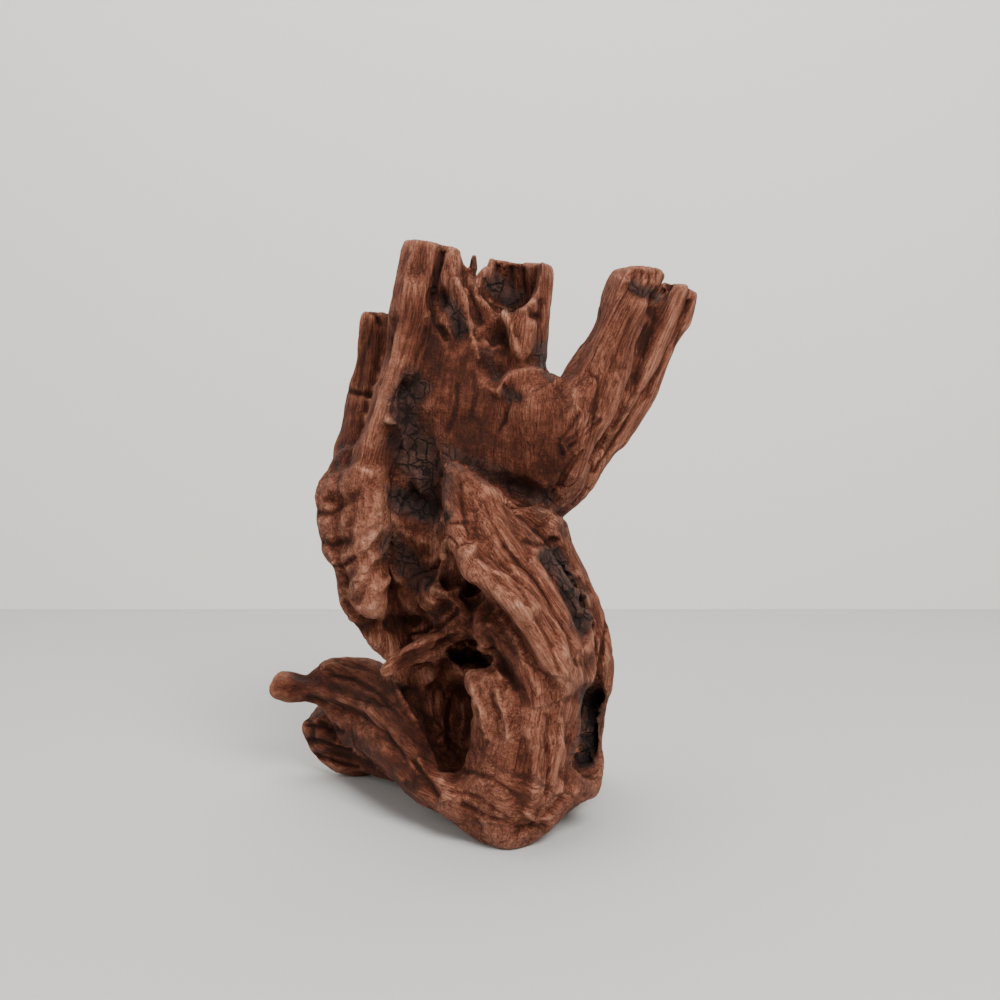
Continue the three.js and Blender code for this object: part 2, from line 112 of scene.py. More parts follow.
# the large forms that the photograph shows, drawn in its own pixels: line, half width and height in mm,
# and for some how near and how far along Y (mm) the wood that they shape lies (a negative height is a hollow)
forms = dict(
    flankHigh=([(470, 594), (486, 606), (500, 618)], 4.5, -4.5, -70, 10),
    flankSweep=([(486, 660), (502, 670), (514, 686), (522, 702)], 2.6, -3.4, -70, 10),
    crestHigh=([(472, 570), (490, 584), (508, 598), (524, 611)], 5.5, 2.6, -70, 0),
    crestLow=([(524, 611), (534, 632), (547, 655), (560, 672)], 4.0, 2.4, -70, 0),
    bowlDeep=([(460, 700), (456, 730), (448, 762)], 6.5, -8.0),
    bowlRim=([(472, 688), (478, 712), (478, 740), (468, 760), (450, 778)], 3.0, 4.0, -70, -25),
    cave=([(463, 657), (474, 656), (484, 658)], 3.8, -7.0),
    innerRidge=([(387, 672), (406, 700), (426, 738), (441, 780)], 3.0, 4.0, -70, 60),
    innerShelf=([(412, 690), (424, 716), (434, 744)], 4.0, -3.5, -70, 60),
    lowRootCrease=([(312, 704), (350, 711), (383, 730), (412, 766), (436, 796)], 3.4, -4.5, -70, 70),
    lowRootBack=([(325, 668), (345, 660), (372, 668)], 4.0, 2.2, -70, 70),
    knobNeck=([(304, 672), (312, 676)], 5.0, -3.0, -70, 70),
    knobTop=([(278, 680), (284, 688)], 5.0, 1.0, -70, 70),
    prongFace=([(312, 730), (345, 738), (380, 752)], 6.0, 2.5, -70, 70),
    prongCrease=([(316, 756), (345, 754), (372, 762)], 2.4, -2.2, -70, 70),
    burlFlange=([(372, 478), (373, 508), (370, 538), (363, 568), (365, 598)], 6.6, 3.6, -60, 12),
    burlGroove=([(354, 500), (350, 524), (346, 545)], 2.6, -2.4, -60, 30),
    burlLumpHigh=([(324, 500), (330, 494)], 6.0, 2.6),
    burlLumpMiddle=([(320, 522), (328, 527)], 5.6, 2.6),
    burlLumpLow=([(330, 550), (338, 556)], 4.0, 3.0),
    burlUnder=([(358, 630), (382, 629), (404, 620)], 3.6, -4.0),
    burlFoot=([(350, 606), (356, 616)], 4.0, 2.8),
    valley=([(408, 392), (414, 430), (420, 470), (416, 510), (408, 560)], 8.5, -5.5, -22, 60),
    valleyPit=([(402, 500), (426, 508)], 6.5, -5.0, -22, 60),
    valleyShoulder=([(392, 405), (398, 425), (406, 440)], 3.4, 3.4, -40, 40),
    leftRidge=([(413, 288), (408, 325), (397, 372), (384, 410), (372, 440)], 7.0, 2.2, -40, 30),
    slabCrease=([(396, 318), (386, 345), (377, 375), (368, 405), (356, 435), (344, 462)], 2.6, -4.0),
    shield=([(518, 400), (532, 424), (544, 450)], 12.0, 1.6, -60, 40),
    shieldRoot=([(574, 396), (582, 430), (572, 470)], 6.0, 3.6),
    shieldLip=([(504, 390), (508, 380), (518, 374), (532, 371), (546, 375), (555, 382)], 2.8, 4.0, -60, 40),
    underLip=([(496, 372), (510, 364), (528, 362), (542, 366)], 3.4, -2.2),
    pocket=([(486, 316), (492, 328), (496, 342)], 7.5, -4.0),
    pocketFoot=([(486, 362), (492, 370)], 3.4, -5.0),
    pocketLedge=([(470, 342), (482, 346), (494, 358)], 3.4, 3.0),
    wallRidge=([(504, 313), (508, 326), (512, 338), (516, 350)], 1.5, 3.0, -60, 14),
    stemHollow=([(440, 300), (450, 309), (459, 322), (463, 336)], 5.0, -5.5),
    curl=([(455, 282), (460, 294), (467, 306), (472, 318), (475, 328)], 1.3, 3.6),
    curlShade=([(466, 292), (472, 304), (477, 318)], 1.6, -2.4),
    strandRidge=([(458, 250), (457, 268), (457, 284)], 2.2, 1.8),
    stumpFront=([(522, 322), (524, 345)], 5.0, 2.0),
    hornFissure=([(446, 241), (441, 262), (434, 284), (431, 304), (437, 322), (453, 346)], 1.6, -3.0),
    hornGroove=([(640, 330), (634, 350), (630, 372), (624, 395), (616, 418), (604, 437),
                 (588, 454)], 3.2, -8.0, -14, 60),
    hornFace=([(622, 285), (606, 335), (588, 380), (566, 430)], 7.0, 2.2),
    noseRidge=([(452, 474), (451, 505), (458, 534), (468, 553)], 3.2, 3.4, -75, -20),
    noseGroove=([(468, 500), (472, 518), (478, 534)], 3.6, -1.8, -75, -20),
    noseFace=([(484, 494), (496, 522), (510, 548)], 5.0, 2.4, -75, -15),
    noseSplit=([(506, 505), (518, 530), (532, 556)], 2.4, -1.2, -75, 0),
    shoulderLump=([(536, 508), (548, 520), (560, 536)], 4.4, 3.0, -75, 20),
    shoulderNotch=([(526, 510), (528, 520), (534, 530)], 2.4, -2.0, -75, 20),
    aboveNose=([(470, 470), (496, 484), (522, 494), (550, 506)], 5.0, -5.0, -28, 60),
    charStrip=([(552, 560), (564, 576), (576, 596), (585, 622)], 5.0, -6.0),
    outerRim=([(594, 600), (604, 630), (608, 660), (606, 690)], 3.0, 2.6),
    rightHollow=([(592, 702), (591, 726), (585, 750)], 5.5, -8.0),
    footLump=([(580, 780), (590, 790)], 4.5, 2.4),
    middleFold=([(447, 546), (432, 562), (424, 582), (434, 600), (458, 604)], 3.2, 3.8, -60, 40),
    foldHole=([(444, 568), (447, 582)], 2.8, -6.5),
    slot=([(412, 624), (428, 620), (444, 611)], 3.0, -7.0),
    tongueEdge=([(391, 660), (412, 649), (440, 636), (466, 628), (492, 622)], 2.6, 2.6, -60, 40),
    underTongue=([(404, 668), (430, 656), (452, 646)], 2.6, -4.5),
    chip=([(424, 664), (432, 678)], 4.0, 2.8),
    chipShade=([(446, 664), (440, 684), (430, 692)], 2.4, -3.8),
    bellyPlane=([(498, 704), (502, 740), (496, 776)], 9.0, 2.6, -70, 0),
    bellyStep=([(530, 730), (534, 752), (535, 778), (531, 812)], 2.4, 2.4, -70, 0),
    bellyShade=([(521, 744), (524, 776), (519, 804)], 2.8, -1.2, -70, 0),
    bellyLip=([(448, 796), (478, 792), (508, 812)], 6.0, 2.4, -70, 0),
    rightGroove=([(572, 700), (570, 740), (566, 780)], 2.6, -3.4, -70, 20),
    hornGrooveHigh=([(666, 284), (656, 304), (646, 322)], 2.0, -3.0),
    outerRidge=([(682, 292), (669, 320), (657, 345), (647, 370), (637, 392), (625, 414),
                 (610, 434)], 3.0, 4.0, -12, 60),
    burlEdge=([(385, 486), (388, 516), (384, 542), (375, 560)], 1.8, 2.2, -60, 8),
    burlTearHigh=([(376, 540), (366, 556), (354, 570), (346, 582)], 1.5, -2.6, -60, 12),
    burlTearLow=([(378, 562), (371, 580), (362, 596)], 1.4, -2.4, -60, 12),
    burlTip=([(362, 602), (374, 613)], 3.0, 2.4, -60, 12),
    burlTipShade=([(348, 602), (361, 615), (378, 622)], 2.2, -4.0, -60, 30),
    burlCurl=([(382, 586), (391, 574), (399, 582)], 1.7, 3.0, -60, 30),
    burlKnuckle=([(337, 481), (350, 482), (345, 491)], 3.6, 2.8, -60, 30),
    burlKnuckleCrease=([(333, 498), (346, 498), (358, 492)], 1.9, -3.2, -60, 30),
    # the recess under the right horn's broken rim
    hornRimShadow=([(634, 288), (646, 291), (659, 298)], 3.0, -1.2),
    bellyLeftPlane=([(462, 780), (492, 770), (512, 790)], 8.0, 2.0, -70, 0),
)

# the smaller creases, ridges and splits, drawn the same way
folds = dict(
    hornSecondSplit=([(468, 262), (467, 280), (474, 300), (480, 322)], 1.4, -2.6),
    hornLeftPlane=([(412, 250), (404, 285), (400, 320), (394, 345)], 2.4, 1.2),
    hornSplay=([(430, 312), (424, 345), (410, 380)], 1.4, 1.2),
    slabCrossCrack=([(350, 391), (360, 392), (371, 395)], 0.7, -1.8),
    slabSplit=([(372, 322), (366, 352), (358, 390), (350, 428)], 0.9, -0.8),
    slabNotch=([(375, 312), (378, 322)], 1.6, -3.0),
    pocketLeftLip=([(468, 324), (473, 340), (478, 358)], 1.2, 1.8),
    pocketRightRidge=([(505, 311), (511, 325), (516, 342), (520, 358)], 1.7, 2.0),
    pocketKnots=([(484, 344), (492, 350), (500, 348)], 1.4, 1.8),
    cupFrontRim=([(474, 296), (484, 302), (496, 307), (508, 312), (522, 311), (534, 301)], 1.2, 1.2),
    cupStreakLeft=([(498, 266), (500, 288)], 0.9, -1.6),
    cupStreakMiddle=([(512, 268), (512, 294)], 0.8, -1.4),
    cupStreakRight=([(524, 270), (524, 292)], 0.8, -1.4),
    stumpKnot=([(534, 314), (539, 317)], 1.5, -2.8),
    stumpCrack=([(541, 300), (541, 330), (538, 352)], 0.8, -1.6),
    shieldCrack=([(504, 384), (507, 404), (505, 422), (499, 433)], 0.8, -1.8),
    charSpot=([(508, 392), (516, 398)], 3.0, -2.4),
    hornGrooveSecond=([(690, 302), (674, 345), (652, 385), (624, 428), (594, 470)], 1.1, -2.2),
    hornFrontGroove=([(628, 320), (618, 350), (604, 384), (592, 412)], 0.8, -0.6),
    hornLip=([(616, 276), (636, 284), (654, 282)], 1.4, 0.6),
    bodyCrackLeft=([(458, 386), (458, 405), (454, 418), (448, 430)], 0.7, -1.6),
    bodyFurrow=([(474, 372), (476, 395), (472, 420)], 1.0, -0.8),
    bodyLump=([(486, 386), (496, 392)], 2.6, 1.6),
    valleyLip=([(386, 420), (396, 424), (402, 436), (404, 452)], 1.6, 2.4),
    valleyEdge=([(404, 386), (398, 398), (392, 410)], 1.4, -2.0),
    valleyBlister=([(418, 478), (422, 490)], 2.4, 2.2),
    valleyRib=([(400, 530), (416, 540), (436, 544)], 2.2, 0.9),
    burlSkin=([(346, 474), (358, 468), (370, 474)], 2.2, 1.6),
    burlCreaseTop=([(318, 512), (332, 513), (344, 504)], 1.8, -1.6),
    burlCreaseMiddle=([(320, 541), (332, 545), (346, 540)], 1.8, -1.8),
    burlCreaseLow=([(332, 566), (342, 566), (352, 560)], 1.2, -2.2),
    burlNub=([(334, 562), (338, 566)], 1.8, 2.4),
    noseTip=([(447, 467), (453, 473)], 2.2, 1.6),
    noseScratch=([(450, 524), (468, 522)], 0.8, -1.2),
    noseLine=([(461, 484), (463, 510), (469, 540)], 0.9, -1.1),
    noseLineRight=([(484, 500), (494, 526), (506, 548)], 0.8, -0.8),
    noseTopEdge=([(454, 468), (470, 477), (486, 488), (500, 497), (514, 508)], 1.6, 2.0),
    noseBeads=([(468, 556), (474, 548)], 1.8, 2.2),
    shoulderKnots=([(528, 541), (540, 545), (556, 541)], 1.4, -2.2),
    shoulderRoll=([(540, 512), (552, 514), (562, 526)], 1.6, 2.0),
    faceSplit=([(505, 548), (528, 572), (548, 600), (566, 634), (578, 664)], 0.8, -1.4),
    faceSplitSecond=([(516, 584), (534, 610), (548, 642), (560, 672)], 0.8, -0.9),
    faceStrand=([(512, 566), (534, 592), (554, 624), (568, 655)], 1.8, 1.0),
    faceStrandRight=([(534, 560), (554, 590), (572, 626), (584, 655)], 1.8, 1.0),
    secondCrest=([(500, 618), (514, 638), (526, 664), (538, 692)], 1.6, 1.2),
    flankLine=([(490, 640), (504, 662), (514, 688)], 1.1, -1.8),
    flankStrand=([(478, 634), (492, 656), (500, 676)], 1.6, 2.0),
    charSpikeHigh=([(562, 566), (574, 574)], 1.6, 2.2),
    charSpikeLow=([(574, 592), (586, 598)], 1.6, 2.4),
    charSpikeFoot=([(582, 612), (590, 622)], 1.4, 2.4),
    rimTongue=([(587, 616), (590, 632), (586, 648)], 2.0, 2.4),
    rimFold=([(598, 640), (596, 662), (588, 684)], 1.6, 2.0),
    rimGroove=([(606, 622), (603, 650), (597, 676)], 1.2, -2.0),
    foldLow=([(432, 590), (446, 595), (462, 590)], 1.6, 1.8),
    foldHoleLow=([(440, 602), (452, 606)], 1.6, -3.0),
    slotLower=([(412, 634), (436, 626), (458, 612)], 1.1, -2.8),
    tongueLine=([(404, 658), (430, 646), (458, 634)], 0.8, -1.2),
    lowRootPlane=([(332, 688), (352, 692), (378, 704)], 4.0, -1.4),
    lowRootLine=([(330, 676), (354, 680), (380, 694), (400, 718)], 0.9, -1.4),
    lowRootStrand=([(340, 700), (368, 710), (394, 736), (418, 772)], 1.6, 1.6),
    prongEnd=([(306, 716), (312, 730), (308, 746)], 1.4, -1.8),
    prongTear=([(318, 722), (334, 728)], 1.2, -2.0),
    prongStrand=([(326, 742), (352, 746), (378, 760), (404, 780)], 1.3, 1.5),
    shelfLine=([(404, 690), (420, 716), (434, 748)], 1.0, -1.8),
    bowlCrack=([(452, 700), (448, 724), (450, 748)], 1.0, -2.0),
    bowlRib=([(464, 706), (462, 730), (460, 752)], 1.4, 1.6),
    bellyGroove=([(546, 716), (549, 756), (546, 796)], 1.0, -1.2),
    bellyKnot=([(526, 812), (536, 822), (548, 816)], 1.6, 1.8),
    bellyKnotShade=([(530, 828), (546, 824)], 1.2, -1.2),
    bellySweep=([(452, 790), (480, 800), (512, 822)], 0.9, -0.8),
    bellyFoot=([(560, 800), (540, 820), (516, 834)], 1.6, -1.4),
    sideLine=([(560, 720), (562, 752), (558, 790)], 1.2, 1.8),
    rootLineFirst=([(600, 420), (586, 434), (570, 446)], 0.8, -1.2),
    rootLineSecond=([(594, 418), (580, 432), (566, 441)], 0.7, -1.0),
    rootLineThird=([(580, 412), (570, 426), (560, 440)], 0.7, -1.0),
    rootHoles=([(560, 445), (563, 454)], 0.8, -1.4),
    footLineFirst=([(583, 452), (572, 470), (560, 488)], 0.8, -1.3),
    footLineSecond=([(575, 456), (564, 474), (553, 494)], 0.8, -1.3),
    bellySweepHigh=([(462, 770), (492, 778), (520, 796)], 1.0, -1.0),
    bellySweepLow=([(462, 806), (492, 818), (522, 830)], 0.9, -1.0),
    bellyRimRidge=([(476, 690), (484, 712), (487, 738)], 1.6, 2.0),
    bellyRimFold=([(497, 690), (503, 712), (507, 736)], 1.5, 1.8),
    bellyRimDip=([(491, 694), (496, 716), (497, 738)], 1.2, -0.9),
    crestFoldFirst=([(488, 570), (508, 588), (527, 604)], 1.0, -0.8),
    crestFoldSecond=([(500, 564), (522, 582), (541, 604), (556, 636)], 1.0, -0.7),
    crestFoldThird=([(476, 562), (492, 572), (508, 578)], 1.2, 1.4),
    prongGapFirst=([(306, 726), (322, 727), (342, 733)], 1.0, -2.6),
    prongGapSecond=([(305, 741), (326, 743), (350, 750)], 1.0, -2.6),
    prongGapThird=([(310, 757), (330, 760), (356, 766)], 1.0, -2.4),
    caveRim=([(454, 647), (464, 643), (474, 648), (486, 644), (496, 650)], 1.4, 2.2),
    charRib=([(556, 578), (568, 592), (576, 612)], 1.4, 2.0),
    charRibSecond=([(568, 574), (580, 592), (588, 606)], 1.2, 1.8),
    hornFissureLine=([(446, 239), (441, 262), (434, 284), (431, 304), (436, 322), (446, 338)], 0.9, -3.4),
    hollowRibHigh=([(600, 706), (595, 722), (588, 732)], 1.3, 2.2),
    hollowRibLow=([(583, 742), (591, 752), (597, 764)], 1.4, 2.4),
)
# six short ticks side by side in the broken end of the right horn
for tick in range(6):
    folds["endTick%d" % tick] = ([(634 + 7 * tick, 270 + tick), (633 + 7 * tick, 283 + tick)], 0.55, -0.9)

# long ridges and furrows on the back, drawn as x and z in mm
backFolds = dict(
    leftFurrow=([(-36, 215), (-26, 170), (-12, 130), (2, 92), (22, 50), (36, 18)], 2.6, -4.0),
    leftStrand=([(-48, 190), (-38, 150), (-24, 112), (-4, 76), (18, 40)], 4.0, 2.4),
    middleFurrow=([(12, 190), (10, 150), (14, 120), (24, 92)], 3.0, -4.5),
    rightStrand=([(44, 196), (36, 160), (34, 120), (42, 84), (48, 40)], 4.0, 2.2),
    rightFurrow=([(54, 180), (46, 150), (48, 112), (56, 80)], 2.2, -3.2),
    ribFurrow=([(-14, 176), (-2, 148), (4, 120)], 1.8, -2.6),
    stumpSplit=([(16, 262), (14, 236), (20, 210), (16, 188)], 1.6, -3.2),
    hornSplit=([(-26, 262), (-28, 232), (-24, 205)], 1.6, -3.2),
    slabSplit=([(-50, 236), (-54, 200), (-60, 168)], 1.4, -2.2),
    crossFold=([(-44, 128), (-30, 120), (-16, 124)], 1.8, 2.0),
    kneeHollow=([(30, 74), (38, 66), (44, 58)], 5.0, -4.0),
    rootFurrow=([(-90, 30), (-66, 26), (-40, 24)], 1.8, -3.0),
    hornRightSplit=([(70, 246), (60, 220), (50, 196)], 1.5, -3.0),
)

# charred places, and shaded hollows and gaps painted black like char, in the photograph's pixels: a line, its
# half width in pixels, and how black
burnsAndShade = dict(
    valleyUpper=([(412, 386), (402, 404), (410, 430)], 18, 0.8),
    valleyMiddle=([(406, 438), (422, 462), (432, 488)], 26, 0.8),
    valleyPit=([(398, 496), (418, 506), (438, 514)], 14, 1.0),
    valleyLow=([(390, 544), (408, 562), (422, 580)], 15, 0.75),
    aboveNose=([(448, 456), (480, 468), (510, 484), (545, 500)], 12, 0.68),
    stem=([(445, 300), (454, 312), (461, 328)], 10, 0.8),
    cupLeft=([(492, 284), (500, 292), (510, 300)], 11, 0.9),
    # painted shade in the pocket under the stump's lip
    pocketLow=([(484, 352), (492, 364), (496, 378)], 6, 0.6),
    # painted shade in the crotch between the stump and the right horn
    crotch=([(541, 348), (545, 362), (549, 376)], 8, 0.8),
    shieldSpot=([(508, 392), (514, 398)], 7, 0.75),
    # painted shade in the gap at the slab's foot
    slabFoot=([(342, 446), (338, 464)], 6, 0.6),
    # painted shade on the neck, which lies in shadow
    neck=([(548, 500), (560, 518), (568, 534)], 8, 0.5),
    rightStrip=([(550, 556), (562, 574), (574, 596), (583, 622)], 12, 0.95),
    rightStripHigh=([(520, 522), (532, 536), (546, 548)], 4, 0.4),
    # painted shade inside the right hollow, where no light reaches
    rightHollow=([(591, 698), (590, 728), (584, 760)], 13, 1.0),
    # painted shade in the cave under the tongue
    cave=([(460, 654), (476, 656), (488, 659)], 7, 0.7),
    bowl=([(458, 690), (464, 720), (456, 750), (446, 770)], 10, 0.35),
    # painted shade in the slot
    slot=([(418, 621), (430, 619), (442, 613)], 5, 0.45),
    # partly char, partly painted shadow under the right horn's broken rim
    hornRimShadow=([(634, 287), (646, 290), (659, 297)], 6, 0.75),
    # painted shade in the holes of the middle fold
    foldHoles=([(445, 570), (448, 582)], 4, 0.4),
    # painted shade along the nose's side
    noseSide=([(441, 520), (444, 545), (452, 560)], 4, 0.25),
    rightFoot=([(574, 780), (590, 786)], 6, 0.45),
    twig=([(475, 256), (475, 268)], 4, 0.8),
)

# lighter (above 0) and darker (below 0) wood, drawn the same way: partly the wood's own colour, partly painted
# light on faces turned to the key lamp and painted shade under, between and on turned-away parts
tintsAndPaintedLight = dict(
    # painted shade on the slab, which lies in shadow
    slab=([(378, 325), (364, 375), (350, 425), (338, 462)], 13, -0.85),
    hornLeft=([(420, 250), (414, 290), (412, 325)], 14, -0.4),
    hornInner=([(456, 262), (460, 285)], 9, 0.1),
    curl=([(466, 292), (474, 314), (482, 336)], 5, 0.45),
    ridgeRed=([(400, 350), (388, 385), (374, 425)], 11, 0.15),
    ridgeRightEdge=([(382, 404), (392, 420), (398, 440)], 7, 0.55),
    bodyDark=([(430, 340), (460, 390), (470, 440)], 30, -0.95),
    bodyRed=([(436, 344), (440, 366)], 10, -0.1),
    # painted shade on the body under the nose's upper edge
    bodyLower=([(460, 450), (500, 466), (540, 470)], 18, -0.5),
    shield=([(520, 400), (536, 425), (552, 450)], 24, -0.5),
    shieldFoot=([(520, 480), (545, 490)], 14, -0.5),
    stumpInside=([(514, 280), (530, 284)], 12, -0.35),
    stumpFront=([(526, 322), (530, 345)], 12, -0.35),
    # painted shade in the pocket under the stump's lip
    pocket=([(486, 318), (492, 340), (500, 360)], 11, -0.6),
    hornFront=([(632, 300), (606, 350), (586, 400), (566, 450)], 18, -0.25),
    # painted light on the outer strand, which faces the key lamp
    hornOuter=([(686, 300), (668, 345), (640, 395), (606, 450)], 11, 0.45),
    hornShade=([(650, 322), (640, 350), (632, 378), (624, 404)], 5, -0.4),
    # painted light on the burl's face, which faces the key lamp
    burlFace=([(380, 500), (378, 530), (368, 570), (372, 604)], 12, 0.75),
    burlLeft=([(326, 500), (328, 530), (336, 560)], 12, 0.1),
    # painted shade under the burl
    burlUnder=([(360, 628), (390, 632), (410, 622)], 9, -0.6),
    valleyBrown=([(408, 528), (424, 540)], 14, -0.15),
    nose=([(456, 480), (462, 510), (470, 545)], 12, 0.1),
    # painted highlight along the nose's upper edge
    noseEdge=([(462, 474), (484, 488), (500, 500)], 5, 0.4),
    # painted highlight on the face below the crest
    face=([(500, 566), (530, 606), (556, 650), (572, 700)], 15, 0.45),
    crest=([(474, 572), (500, 594), (524, 618), (544, 660), (562, 690)], 5, 0.15),
    # painted shade on the flank, which is turned away from the key lamp
    flank=([(480, 624), (504, 650), (522, 684)], 15, -0.75),
    middleFold=([(434, 560), (430, 584), (446, 598)], 8, -0.1),
    # painted shade under the middle fold
    underFold=([(410, 600), (440, 612), (470, 606)], 9, -0.5),
    tongue=([(400, 656), (430, 644), (460, 632)], 7, -0.3),
    chip=([(428, 666), (434, 680)], 9, -0.35),
    inner=([(400, 676), (420, 712), (436, 748)], 14, -0.45),
    lowRoot=([(320, 680), (356, 680), (392, 712), (420, 756)], 18, -1.05),
    lowRootTop=([(322, 668), (340, 660), (358, 660)], 5, 0.2),
    knob=([(278, 682), (296, 690)], 14, -0.9),
    prong=([(318, 730), (346, 744), (380, 762), (410, 784)], 14, -1.6),
    bellyLeft=([(480, 700), (492, 716), (506, 730)], 14, 0.45),
    # painted light on the belly's right side, which faces the key lamp
    bellyRight=([(550, 720), (556, 760), (552, 800)], 16, 0.5),
    bellyMiddle=([(474, 772), (500, 780), (516, 800)], 22, -0.35),
    rim=([(600, 620), (606, 660), (602, 690)], 8, 0.1),
    rimShade=([(596, 655), (586, 680)], 6, -0.3),
    foot=([(580, 770), (592, 786)], 8, -0.1),
    # painted shade in the groove between the right horn's strands
    hornWeb=([(668, 296), (656, 324), (644, 354)], 5, -0.5),
    bellyUpper=([(520, 700), (530, 716)], 10, 0.3),
    bowl=([(456, 700), (462, 730), (454, 760)], 10, 0.5),
)

# wood added between the CAD limbs before the forms are pressed: x, y, z and radius in mm
swells = dict(
    flank=[(7.6, -31, 98.5, 7.0), (14.1, -38, 94, 8.0), (20.7, -44.5, 86, 8.5), (25.2, -48, 76, 9.0),
           (28.4, -48.5, 65, 9.0)],
    shieldFoot=[(27, -7, 172, 10), (31, -8, 160, 9.5), (37, -5, 150, 8)],
    shieldLeft=[(15, -6, 184, 8), (19, -7, 172, 9), (27, -4, 158, 9)],
    shieldRight=[(44, -14, 186, 9), (46, -12, 174, 9), (43, -8, 160, 8)],
    chip=[(-34, 6, 66, 6), (-24, 5, 61, 8), (-15, 5, 66, 8)],
    bellyTop=[(4, -33, 68, 7.0), (13, -38, 70, 9.0), (22, -46, 64, 9.0)],
    hornWeb=[(91.5, 1.5, 243, 4.4), (85.8, 1.5, 230, 5.0), (79.9, 1, 216, 5.0), (75.6, 1, 204, 4.5)],
    cupLip=[(6.7, 4, 254.5, 2.4), (2.8, 3, 249.5, 2.8), (0.6, 1, 245, 3.2)],
)

# round hollows cut out of it: middle, half sizes and turn about X, Y, Z in degrees
cutters = dict(
    cup=((16.8, -6.0, 257.0), (14.8, 16.5, 24.0), (0, 0, 0)),
)

# places where the wood is wrinkled and knotty more than grained, drawn as pixels: a line, its half width, how far
knotty = dict(
    burl=([(330, 490), (330, 540), (344, 585)], 26, 1.0),
    burlFace=([(374, 490), (368, 540), (366, 600)], 22, 0.75),
    body=([(430, 370), (450, 410), (480, 450)], 36, 0.6),
    shield=([(532, 400), (546, 430)], 26, 0.3),
    pocket=([(484, 330), (492, 365)], 16, 0.8),
    valley=([(410, 400), (420, 450), (410, 520), (405, 570)], 26, 0.8),
    middleFold=([(430, 565), (446, 600)], 20, 0.85),
    chip=([(440, 660), (480, 650)], 22, 0.8),
    belly=([(490, 690), (496, 740), (488, 790)], 28, 0.75),
    bellyFoot=([(470, 810), (520, 825)], 18, 0.7),
    knob=([(280, 684), (296, 690)], 16, 0.6),
    foot=([(580, 780), (590, 790)], 16, 0.8),
)

# places that the weather has worn smooth, drawn as pixels: a line and its half width
wornPlaces = dict(
    shield=([(526, 396), (546, 430), (552, 478)], 34),
    bodyRight=([(500, 440), (520, 470)], 24),
    frontHorn=([(628, 322), (612, 350), (592, 398)], 20),
    outerHorn=([(676, 318), (660, 350), (640, 390)], 12),
    leftHorn=([(416, 280), (412, 305), (404, 345)], 14),
    flank=([(492, 626), (516, 662), (534, 694)], 16),
    belly=([(496, 730), (500, 790)], 30),
    lowRoot=([(330, 684), (368, 696), (404, 738)], 18),
    burlFace=([(372, 490), (370, 540), (366, 596)], 12),
    slab=([(376, 340), (362, 390), (350, 430)], 12),
    bodyTop=([(428, 374), (458, 380), (488, 388)], 18),
    face=([(500, 540), (528, 584), (552, 634)], 15),
)

wood = {
    "firstVoxel": 1.5,       # mm, the mesh that the large forms are pressed into
    "voxel": 0.85,           # mm, the mesh that the grain is carved into
    "crispAbove": 234.0,     # mm, the broken ends above this height stay sharp
    "wearRounds": 40,        # rounds of smoothing on the worn places
    "formDepth": (-60, 60),  # mm along Y, where the forms that give no depth of their own reach
    "formLimits": (-12, 8),  # mm, the deepest and the highest that the forms add up to
    "limbBlend": 0.12,       # limb widths over which one limb's grain gives way to the next
    "strandWidth": 9.0,      # mm across the grain
    "strandLength": 80.0,
    "strandHeight": 0.32,
    "fibreWidth": 2.6,
    "fibreLength": 34.0,
    "fibreHeight": 0.2,
    "splitDepth": 0.9,
    "wrinkleSize": 6.0,
    "wrinkleHeight": 0.32,
    "lumpSize": 15.0,
    "lumpHeight": 0.6,
    "pitSize": 3.6,
    "pitHeight": 0.16,
    "flatFoot": 3.0,         # mm above the table below which the grain fades
    "spare": 2.0,            # mm that the wood may pass the CAD box by
    "triangles": 195000,
    "twig": [((-1.0, 7.0, 244.0), (0.3, 7.0, 257.0), (2.6, 1.6)),  # foot, tip and half thickness at each
             ((0.3, 7.0, 255.5), (0.9, 7.0, 262.0), (2.1, 1.2))],
}


def scramble(cell, seed):
    # the same random value from -1 to 1 each time for a cell of the lattice
    h = cell[0] * 374761393 + cell[1] * 668265263 + cell[2] * 1440662683 + seed * 362437
    h = (h ^ (h >> 13)) * 1274126177 & 0x7FFFFFFFFFFF
    return ((h ^ (h >> 16)) & 0xFFFF) / 32767.5 - 1.0


def noiseAt(points, seed):
    # smooth random values from -1 to 1 on a unit lattice
    base = np.floor(points).astype(np.int64)
    part = points - base
    part = part * part * (3 - 2 * part)
    total = 0
    for i in (0, 1):
        for j in (0, 1):
            for k in (0, 1):
                weight = np.abs(1 - i - part[:, 0]) * np.abs(1 - j - part[:, 1]) * np.abs(1 - k - part[:, 2])
                total = total + weight * scramble((base[:, 0] + i, base[:, 1] + j, base[:, 2] + k), seed)
    return total


def strayAt(points, seeds, size, reach):
    # smooth random steps, one along each axis for each seed, over lumps of this size in mm
    return np.stack([noiseAt(points / size, seed) for seed in seeds], 1) * reach


def billowAt(points, seed):
    # rounded swells with sharp creases between them
    return 2.6 * np.abs(noiseAt(points, seed)) - 1


def placeShare(spots, places, core, fall, ragged=0.0):
    # 1 or the place's own amount on its line, then less and less towards its half width and past it
    share = np.zeros(len(spots))
    for line, half, *amount in places.values():
        away = lineDistance(spots, line) + ragged
        share = np.maximum(share, (amount or [1.0])[0] * np.clip(core - fall * away / half, 0, 1))
    return share


def ridgeHeights(spots, ridges, size=1.0, power=2.0, ragged=0.0):
    # rounded ridges along lines, and hollows where their height is negative
    total = np.zeros(len(spots))
    for line, half, height in ridges.values():
        away = lineDistance(spots, line) * size + ragged
        total += height * np.exp(-(away / half) ** power)
    return total


def segments(line):
    stops = np.array(line, float)
    return zip(stops[:-1], stops[1:])


